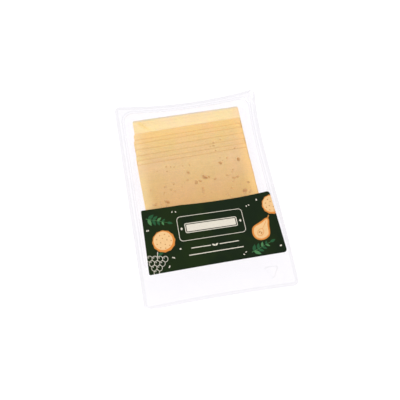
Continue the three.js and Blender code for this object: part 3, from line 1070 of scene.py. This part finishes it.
def eye_tree(cheese, wall_material):
    """Geometry nodes that open an eye in the slice at each point of the eyes object.

    Each eye is a lumpy ball, scaled by the point's reach and turned by its turn, cut away
    from the slice. The cut wall keeps its own material.
    """
    tree = bpy.data.node_groups.new("open_eyes", "GeometryNodeTree")
    tree.is_modifier = True
    for name, kind in (
        ("Slice", "NodeSocketGeometry"),
        ("Eyes", "NodeSocketObject"),
        ("Lumps", "NodeSocketFloat"),
        ("Lump size", "NodeSocketFloat"),
    ):
        tree.interface.new_socket(name, in_out="INPUT", socket_type=kind)
    tree.interface.new_socket("Slice", in_out="OUTPUT", socket_type="NodeSocketGeometry")
    given = add_node(tree, "NodeGroupInput").node.outputs
    eyes = add_node(tree, "GeometryNodeObjectInfo", {"Object": given["Eyes"]}, out="Geometry")
    ball = add_node(tree, "GeometryNodeMeshIcoSphere", {"Radius": 1.0, "Subdivisions": 3})
    reach, turn = (
        add_node(tree, "GeometryNodeInputNamedAttribute", {"Name": name}, data_type="FLOAT_VECTOR")
        for name in ("reach", "turn")
    )
    balls = add_node(
        tree,
        "GeometryNodeInstanceOnPoints",
        {"Points": eyes, "Instance": ball, "Rotation": turn, "Scale": reach},
    )
    balls = add_node(tree, "GeometryNodeRealizeInstances", {"Geometry": balls})

    position = add_node(tree, "GeometryNodeInputPosition")
    frequency = add_node(tree, "ShaderNodeMath", {0: 1.0, 1: given["Lump size"]}, operation="DIVIDE")
    lumps = add_node(
        tree,
        "ShaderNodeTexNoise",
        {"Vector": position, "Scale": frequency, "Detail": 1.0},
        out="Color",
    )
    lumps = add_node(tree, "ShaderNodeVectorMath", {0: lumps, 1: (0.5, 0.5, 0.5)}, operation="SUBTRACT")
    lumps = add_node(tree, "ShaderNodeVectorMath", {0: lumps, "Scale": given["Lumps"]}, operation="SCALE")
    balls = add_node(tree, "GeometryNodeSetPosition", {"Geometry": balls, "Offset": lumps})

    walls = add_node(tree, "GeometryNodeSetMaterial", {"Geometry": balls, "Material": wall_material})
    body = add_node(tree, "GeometryNodeSetMaterial", {"Geometry": given["Slice"], "Material": cheese})
    cut = add_node(
        tree,
        "GeometryNodeMeshBoolean",
        {"Mesh 1": body, "Mesh 2": walls, "Self Intersection": True},
        operation="DIFFERENCE",
        solver="EXACT",
    )
    whole = add_node(tree, "GeometryNodeRealizeInstances", {"Geometry": cut})
    add_node(tree, "NodeGroupOutput", {0: whole})
    return tree


def eye_points(name, eyes, heights):
    """A bare point object that carries each eye's place, reach and turn."""
    mesh = bpy.data.meshes.new(name)
    mesh.from_pydata([(x, y, z) for (x, y, _, _), z in zip(eyes, heights)], [], [])
    # An eye is wider than long and flatter than both, and none goes right through its slice.
    wide, long, flat, deepest = 1.3, 0.9, 0.5, 0.95 * MM
    reach = [(wide * radius, long * radius, min(flat * radius, deepest)) for _, _, radius, _ in eyes]
    turn = [(0, 0, angle) for _, _, _, angle in eyes]
    for attribute_name, vectors in (("reach", reach), ("turn", turn)):
        attribute = mesh.attributes.new(attribute_name, "FLOAT_VECTOR", "POINT")
        attribute.data.foreach_set("vector", [value for vector in vectors for value in vector])
    points = bpy.data.objects.new(name, mesh)
    bpy.context.collection.objects.link(points)
    return points


def open_eyes(piece, tree, points, lumps, lump_size):
    """Runs the eye nodes on a slice and keeps the plain mesh."""
    modifier = piece.modifiers.new("Eyes", "NODES")
    modifier.node_group = tree
    sockets = {item.name: item.identifier for item in tree.interface.items_tree if item.in_out == "INPUT"}
    modifier[sockets["Eyes"]] = points
    modifier[sockets["Lumps"]] = lumps
    modifier[sockets["Lump size"]] = lump_size
    bake_modifiers(piece)
    smooth(piece.data)
    bpy.data.objects.remove(points)


# Label artwork, in millimetres from the label's middle, painted in order


def disc(u, v, radius_u, radius_v=None, turn=0.0, steps=36):
    """Outline of an ellipse."""
    radius_v = radius_v or radius_u
    outline = []
    for i in range(steps):
        a, b = radius_u * cos(2 * pi * i / steps), radius_v * sin(2 * pi * i / steps)
        outline.append((u + a * cos(turn) - b * sin(turn), v + a * sin(turn) + b * cos(turn)))
    return outline


def bar(u, v, width, height, corner=0.0, left_corner=None):
    """Outline of a bar with round or square corners, whose left ones may differ."""
    if corner <= 0:
        return [
            (u - width / 2, v - height / 2),
            (u + width / 2, v - height / 2),
            (u + width / 2, v + height / 2),
            (u - width / 2, v + height / 2),
        ]
    outline = []
    for n, (su, sv) in enumerate(((1, -1), (1, 1), (-1, 1), (-1, -1))):
        radius = corner if su > 0 or left_corner is None else left_corner
        for i in range(7):
            angle = radians(-90 + 90 * n + 15 * i)
            outline.append(
                (
                    u + su * (width / 2 - radius) + radius * cos(angle),
                    v + sv * (height / 2 - radius) + radius * sin(angle),
                )
            )
    return outline


def moved(outline, u, v, turn=0.0):
    """The outline turned and moved to a place."""
    return [(u + a, v + b) for a, b in (turned(*point, turn) for point in outline)]


def leaf(u, v, length_mm, width_mm, turn):
    """Outline of a pointed leaf that starts at a place."""
    steps = 10
    upper = [(length_mm * t / steps, width_mm / 2 * sin(pi * (t / steps) ** 0.8)) for t in range(steps + 1)]
    lower = [(a, -b) for a, b in upper[-2:0:-1]]
    return moved(upper[::-1] + lower[::-1], u, v, turn)


def sprig(u, v, turn, pairs, leaf_mm):
    """A stem with leaves in pairs and one at its tip, as painted shapes."""
    shapes = []
    pitch, shrink, slimness, spread = leaf_mm * 0.62, 0.14, 0.46, radians(52)
    tip = (pairs + 0.6) * pitch
    stem = [(0, -0.25), (tip, -0.12), (tip, 0.12), (0, 0.25)]
    shapes.append((moved(stem, u, v, turn), "leaf_light"))
    for n in range(pairs):
        at = (n + 0.5) * pitch
        base_u, base_v = u + at * cos(turn), v + at * sin(turn)
        size = leaf_mm * (1 - shrink * n)
        for side in (1, -1):
            ink = "leaf" if (n + (side > 0)) % 3 else "leaf_light"
            shapes.append((leaf(base_u, base_v, size, size * slimness, turn + side * spread), ink))
    end_u, end_v = u + tip * cos(turn), v + tip * sin(turn)
    shapes.append((leaf(end_u, end_v, leaf_mm * 0.8, leaf_mm * 0.36, turn), "leaf"))
    return shapes


def pear_half(u, v, turn):
    """A drawn half of a pear: stem, skin, flesh and core."""
    steps, half_length, belly, neck = 48, 12, 9.2, 4.4

    def section(inset):
        outline = []
        for i in range(steps):
            angle = 2 * pi * i / steps
            along = -half_length * cos(angle)
            wide = mix(belly, neck, smoothstep((along + 5) / 14))
            outline.append(((wide - inset) * sin(angle), along * (1 - inset / half_length)))
        return outline

    shapes = [(bar(0, 12.5, 1.1, 5, 0.4), "tan"), (section(0), "tan"), (section(0.5), "orange")]
    shapes += [(section(1.7), "pale"), (bar(0, 4, 0.4, 10), "orange")]
    shapes += [(disc(0, -4, 2.9, 3.9), "orange"), (disc(0, -4, 2.4, 3.4), "pale")]
    shapes += [(disc(side * 1.0, -4.2, 0.6, 1.3, 0.25 * side, steps=16), "tan") for side in (1, -1)]
    return [(moved(outline, u, v, turn), ink) for outline, ink in shapes]


def cracker(u, v, radius):
    """A round cracker with a scalloped rim and docking holes."""
    rim, steps, scallops, scallop_depth = [], 72, 12, 0.025
    for i in range(steps):
        angle = 2 * pi * i / steps
        reach = radius * (1 + scallop_depth * cos(scallops * angle))
        rim.append((u + reach * cos(angle), v + reach * sin(angle)))
    # Dark rim, toasted ring, and a paler middle that is off centre, towards the light.
    shapes = [(rim, "tan"), (disc(u, v, radius * 0.95), "orange")]
    shapes.append((disc(u - radius * 0.05, v + radius * 0.06, radius * 0.84), "pale"))
    # Two rings of holes.
    for ring, count in ((0.3, 4), (0.64, 9)):
        for i in range(count):
            angle = 2 * pi * i / count + ring
            hole = disc(u + radius * ring * cos(angle), v + radius * ring * sin(angle), 0.55, steps=10)
            shapes.append((hole, "tan"))
    return shapes


def grape_bunch(u, v, turn, radius, line):
    """A bunch of grapes in thin cream lines on the green, with its stem at the top."""
    rows, tall = 4, radius * 1.12
    shapes = [(bar(0, 1.7 * radius, 0.7, 1.8 * radius, 0.3), "cream")]
    shapes.append((leaf(0, 1.3 * radius, 2.4 * radius, radius, radians(28)), "leaf"))
    for row in range(rows):
        for n in range(rows - row):
            at_u, at_v = (2 * n - rows + 1 + row) * radius * 0.9, -1.6 * radius * row
            shapes.append((disc(at_u, at_v, radius, tall, steps=28), "cream"))
            shapes.append((disc(at_u, at_v, radius - line, tall - line, steps=28), "green"))
            glint = disc(at_u - 0.35 * radius, at_v + 0.4 * radius, 0.3, 0.62, radians(-35), steps=12)
            shapes.append((glint, "cream"))
    return [(moved(outline, u, v, turn), ink) for outline, ink in shapes]


def label_artwork():
    """All shapes of the label as (outline, ink), painted from first to last."""
    shapes = []
    # A frame round a blank plate with an edge line, in the middle, and a diamond at each end.
    frame_v = 7.5
    for width, height, corner, ink in (
        (62, 24, 3.5, "cream"),
        (61, 23, 3.1, "green"),
        (49, 9.6, 1.6, "cream"),
        (47.6, 8.2, 1.0, "green"),
        (46, 6.6, 0.6, "cream"),
    ):
        shapes.append((bar(0, frame_v, width, height, corner), ink))
    diamond = [(0, -1.5), (1.1, 0), (0, 1.5), (-1.1, 0)]
    for side in (1, -1):
        shapes.append((moved(diamond, side * 27.6, frame_v), "cream"))
    # Plain rules below the frame, the first broken by a small pair of leaves.
    shapes += [(bar(-13, -12, 18, 0.8, 0.35), "cream"), (bar(13, -12, 18, 0.8, 0.35), "cream")]
    shapes += [(bar(0, -18.5, 50, 0.8, 0.35), "cream")]
    for angle in (radians(35), radians(145)):
        shapes.append((leaf(0, -13, 3.6, 1.7, angle), "cream"))
    # Left: a cracker, a sprig and a bunch of grapes that the edge cuts.
    shapes += grape_bunch(-53.5, -17, radians(-10), 2.6, 0.42)
    shapes += sprig(-59, 22, radians(-18), 4, 7.0)
    shapes += cracker(-45.5, -1.5, 10.4)
    # Right: half a pear, a sprig under it and a cracker that the edge cuts.
    shapes += sprig(31, -25.5, radians(20), 4, 7.0)
    shapes += cracker(61, 17, 9.6)
    shapes += pear_half(46, -4.5, radians(-38))
    # Two flecks beside each of these places, scattered by draw.
    draw = draws(4127)
    left = [(-32, 24), (-58, 10), (-38, -19), (-31, -12)]
    right = [(38, 20), (46, 24), (57, -24), (24, -25), (-44, -25)]
    for u, v in left + right:
        for _ in range(2):
            at_u = u + (next(draw) - 0.5) * 4
            at_v = v + (next(draw) - 0.5) * 3
            shapes.append((disc(at_u, at_v, 0.85, 0.5, pi * next(draw), steps=12), "cream"))
    return shapes


def label_plan(label, half_u, half_v):
    """The flat label cut along its border and its printed outlines.

    The three results are its points, its triangles and the ink of each triangle.
    """
    border = bar(0, 0, 2 * half_u, 2 * half_v, label.right_corner / MM, label.left_corner / MM)
    dense, border_step = [], 2.5
    for (u0, v0), (u1, v1) in zip(border, border[1:] + border[:1]):
        steps = max(1, ceil(hypot(u1 - u0, v1 - v0) / border_step))
        dense += [(mix(u0, u1, i / steps), mix(v0, v1, i / steps)) for i in range(steps)]
    shapes = [(dense, "green")] + label_artwork()
    points, loops = [], []
    for outline, _ in shapes:
        loops.append(list(range(len(points), len(points) + len(outline))))
        points += [Vector(p) for p in outline]
    # Points all over the label let it bend with the film.
    inset, step = 1.5, label.mesh_step / MM
    for u in spaced(-half_u + inset, half_u - inset, step):
        for v in spaced(-half_v + inset, half_v - inset, step):
            points.append(Vector((u, v)))
    flat, _, cells, _, _, owners = delaunay_2d_cdt(points, [], loops, 1, 1e-5, True)
    inks, triangles = [], []
    for cell, owner in zip(cells, owners):
        # Outline 0 is the border, and the last outline round a triangle is the ink on top.
        if 0 not in owner:
            continue
        a, b, c = (flat[i] for i in cell)
        turn = (b - a).cross(c - a)
        triangles.append(tuple(cell) if turn > 0 else tuple(cell[::-1]))
        inks.append(shapes[max(owner)][1])
    # Only the points on the label stay; a drawing that the edge cuts has some beyond it.
    kept = sorted({i for triangle in triangles for i in triangle})
    new_index = {i: n for n, i in enumerate(kept)}
    triangles = [tuple(new_index[i] for i in triangle) for triangle in triangles]
    return [flat[i] for i in kept], triangles, inks


def label_mesh(tray, film, label):
    """Points and faces of the label, laid on the film, with the ink of each face."""
    half_u = (label.right - label.left) / 2 / MM
    half_v = (label.far - label.near) / 2 / MM
    middle_x, middle_y = (label.left + label.right) / 2, (label.near + label.far) / 2
    plan, triangles, inks = label_plan(label, half_u, half_v)
    # The bow is right of the middle, where the film hangs lowest, and dies out at the near edge.
    bow_middle, bow_reach = 0.35, 0.75
    low, high = [], []
    for p in plan:
        spread = 1 - label.taper / label.right * (p.y / half_v)
        x, y = turned(p.x * MM * spread, p.y * MM, label.turn)
        across = (p.x / half_u - bow_middle) / bow_reach
        bow = max(0, 1 - across**2) * (0.5 + 0.5 * p.y / half_v)
        x, y = middle_x + x, middle_y + y - label.bow * bow
        z = film_height(tray, film, x, y) + film.thickness + label.gap
        low.append(settle(tray, x, y, z, 1))
        high.append(settle(tray, x, y, z + label.thickness, 1))
    count = len(plan)
    faces = [tuple(count + i for i in t) for t in triangles]
    faces += [t[::-1] for t in triangles]
    face_inks = inks + ["paper"] * len(triangles)
    # An edge that only one triangle has is on the border, and gets a side face.
    edges = [edge for t in triangles for edge in zip(t, t[1:] + t[:1])]
    known = set(edges)
    for a, b in edges:
        if (b, a) not in known:
            faces.append((a, b, count + b, count + a))
            face_inks.append("green")
    return low + high, faces, face_inks


# Operators


class CHEESEPACK_OT_tray(bpy.types.Operator):
    """Makes the clear tray with its seal groove and peel mark"""

    bl_idname = "cheese_pack.tray"
    bl_label = "Tray"

    def execute(self, context):
        tray = context.scene.cheese_pack_tray
        points, faces, looks = tray_mesh(tray)
        piece = new_piece("clear_tray", points, faces)
        # Thermoformed amorphous PET: glass clear and glossy, with a faint orange peel.
        materials = [
            clear_sheet("clear_apet", tray.tint, 0.07, (0.02, 0.2), 0.03 * MM, 6 * MM),
            # Bends and the cut edge: a greyer tint, which is painted shade.
            clear_sheet("clear_apet_bend", tray.bend_tint, 0.12, (0.03, 0.14), 0.03 * MM, 2 * MM),
            clear_sheet("clear_apet_cup", tray.cup_tint, 0.07, (0.02, 0.1), 0.04 * MM, 9 * MM),
        ]
        for material in materials:
            piece.data.materials.append(material)
        for polygon, look in zip(piece.data.polygons, looks):
            polygon.material_index = look
        # The peel mark is pressed into the flange: its sheet bulges below, and is hollow above.
        foot = tray.height - tray.peel_depth
        past = 0.3 * MM
        bulge = peel_tool(tray, tray.peel_size + tray.wall, foot - tray.wall, tray.height - tray.wall / 2)
        hollow = peel_tool(tray, tray.peel_size + past, foot, tray.height + past)
        for tool, operation in ((bulge, "UNION"), (hollow, "DIFFERENCE")):
            for material in materials:
                tool.data.materials.append(material)
            join_or_cut(piece, tool, operation)
        smooth(piece.data)
        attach(piece, "root")
        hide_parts("tray")
        return {"FINISHED"}


class CHEESEPACK_OT_slices(bpy.types.Operator):
    """Makes the shingled slices with their eyes"""

    bl_idname = "cheese_pack.slices"
    bl_label = "Slices"

    def execute(self, context):
        slices = context.scene.cheese_pack_slices
        wall = context.scene.cheese_pack_tray.wall
        label_far = context.scene.cheese_pack_label.far
        cheese = cheese_body(slices)
        eye_wall = cheese_eye(slices)
        tree = eye_tree(cheese, eye_wall)
        for n, node in enumerate(SLICE_NODES):
            piece = new_piece(f"cheese_{node}", *slice_mesh(slices, wall, n))
            last = n == len(SLICE_NODES) - 1
            eyes = top_eyes(slices, label_far) if last else lower_eyes(slices, n)
            heights = []
            for x, y, _, _ in eyes:
                own_y = turned(x, y, -slice_turn(slices, n))[1]
                heights.append(slice_height(slices, wall, n, own_y) + slices.thickness - slices.gap)
            lumps = slices.top_lumps if last else slices.lower_lumps
            open_eyes(piece, tree, eye_points(f"eyes_{n}", eyes, heights), lumps, slices.lump_size)
            mark_strips(slices, wall, piece, n)
            if len(piece.data.polygons) < FEWEST_FACES:
                raise RuntimeError(f"the eyes left no mesh of {node}")
            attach(piece, "root")
            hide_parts(node)
        return {"FINISHED"}


class CHEESEPACK_OT_film(bpy.types.Operator):
    """Lays the clear lid film over the tray and the cheese"""

    bl_idname = "cheese_pack.film"
    bl_label = "Lid film"

    def execute(self, context):
        tray = context.scene.cheese_pack_tray
        film = context.scene.cheese_pack_film

        def lines(half):
            # Closer together over the turned edge.
            border = [half - tray.edge_width * share for share in EDGE_RINGS[:0:-1]]
            inner = spaced(tray.edge_width - half, half - tray.edge_width, film.mesh_step)
            return [-line for line in border] + inner + border[::-1]

        xs, ys = lines(HALF_WIDTH), lines(HALF_LENGTH)

        def place(i, j):
            x, y = round_off(xs[i], ys[j], HALF_WIDTH, HALF_LENGTH, tray.outline_corner)
            z = film_height(tray, film, x, y)
            return settle(tray, x, y, z, 1), settle(tray, x, y, z + film.thickness, 1)

        piece = new_piece("clear_lid_film", *closed_sheet(len(xs), len(ys), place))
        # Co-extruded PET and PE lidding film: clear, limp and very glossy.
        piece.data.materials.append(
            clear_sheet("clear_lidding_film", film.tint, 0.05, (0.02, 0.2), 0.02 * MM, 9 * MM)
        )
        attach(piece, "root")
        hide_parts("lid_film")
        return {"FINISHED"}


class CHEESEPACK_OT_label(bpy.types.Operator):
    """Makes the printed label that lies on the film"""

    bl_idname = "cheese_pack.label"
    bl_label = "Label"

    def execute(self, context):
        label = context.scene.cheese_pack_label
        points, faces, inks = label_mesh(
            context.scene.cheese_pack_tray, context.scene.cheese_pack_film, label
        )
        piece = new_piece("printed_label", points, faces)
        names = sorted(set(inks))
        for name in names:
            cloud = tuple(label.green_deep) if name == "green" else None
            piece.data.materials.append(printed_ink(f"label_ink_{name}", tuple(getattr(label, name)), cloud))
        for polygon, ink in zip(piece.data.polygons, inks):
            polygon.material_index = names.index(ink)
        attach(piece, "root")
        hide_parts("label")
        return {"FINISHED"}


class CHEESEPACK_OT_stage(bpy.types.Operator):
    """Sets up the pale floor, the soft light and the camera"""

    bl_idname = "cheese_pack.stage"
    bl_label = "Stage"

    def execute(self, context):
        stage = context.scene.cheese_pack_stage
        half = stage.floor_size / 2
        z = -stage.floor_drop
        corners = [(-half, -half, z), (half, -half, z), (half, half, z), (-half, half, z)]
        floor = new_piece("studio_floor", corners, [(0, 1, 2, 3)])
        floor.data.materials.append(studio_floor(stage))

        world = bpy.data.worlds.new("soft_studio")
        world.use_nodes = True
        sky = world.node_tree.nodes["Background"]
        sky.inputs["Color"].default_value = (1.0, 1.0, 1.0, 1.0)
        sky.inputs["Strength"].default_value = stage.sky
        context.scene.world = world

        for name, power, size, place in (
            ("soft_box", stage.key_power, stage.key_size, stage.key_place),
            ("strip_light", stage.rim_power, stage.rim_size, stage.rim_place),
        ):
            lamp = bpy.data.lights.new(name, "AREA")
            lamp.shape = "SQUARE"
            lamp.size = size
            lamp.energy = power
            light = bpy.data.objects.new(name, lamp)
            light.location = place
            light.rotation_euler = (-Vector(place)).to_track_quat("-Z", "Y").to_euler()
            context.collection.objects.link(light)

        back = Vector(
            (
                sin(stage.azimuth) * cos(stage.elevation),
                -cos(stage.azimuth) * cos(stage.elevation),
                sin(stage.elevation),
            )
        )
        right = Vector((0, 0, 1)).cross(back).normalized()
        up = back.cross(right)
        turned_right = right * cos(stage.roll) + up * sin(stage.roll)
        turned_up = up * cos(stage.roll) - right * sin(stage.roll)
        axes = Matrix((turned_right, turned_up, back)).transposed().to_4x4()
        lens = bpy.data.cameras.new("camera")
        lens.lens = stage.lens
        lens.sensor_width = 36.0
        lens.clip_start = 0.01
        camera = bpy.data.objects.new("camera", lens)
        camera.matrix_world = Matrix.Translation(Vector(stage.target) + back * stage.distance) @ axes
        context.collection.objects.link(camera)
        context.scene.camera = camera
        context.scene.view_settings.view_transform = "Standard"
        # Film, tray and groove put more clear faces in a line than the usual limit lets through.
        context.scene.cycles.transparent_max_bounces = 32
        return {"FINISHED"}


class CHEESEPACK_PT_sidebar(bpy.types.Panel):
    """Lists the pieces of the pack"""

    bl_label = "Cheese Pack"
    bl_space_type = "VIEW_3D"
    bl_region_type = "UI"
    bl_category = "Cheese Pack"

    def draw(self, context):
        for operator in OPERATORS:
            self.layout.operator(operator.bl_idname)


OPERATORS = (
    CHEESEPACK_OT_stage,
    CHEESEPACK_OT_tray,
    CHEESEPACK_OT_slices,
    CHEESEPACK_OT_film,
    CHEESEPACK_OT_label,
)
GROUPS = {
    "cheese_pack_tray": PackTray,
    "cheese_pack_film": PackFilm,
    "cheese_pack_slices": PackSlices,
    "cheese_pack_label": PackLabel,
    "cheese_pack_stage": PackStage,
}


def register():
    for cls in (*GROUPS.values(), *OPERATORS, CHEESEPACK_PT_sidebar):
        bpy.utils.register_class(cls)
    for name, group in GROUPS.items():
        setattr(bpy.types.Scene, name, PointerProperty(type=group))


def unregister():
    for name in GROUPS:
        delattr(bpy.types.Scene, name)
    for cls in (CHEESEPACK_PT_sidebar, *reversed(OPERATORS), *reversed(GROUPS.values())):
        bpy.utils.unregister_class(cls)


def main():
    register()
    bpy.ops.cheese_pack.stage()
    bpy.ops.cheese_pack.tray()
    bpy.ops.cheese_pack.slices()
    bpy.ops.cheese_pack.film()
    bpy.ops.cheese_pack.label()


if __name__ == "__main__":
    main()
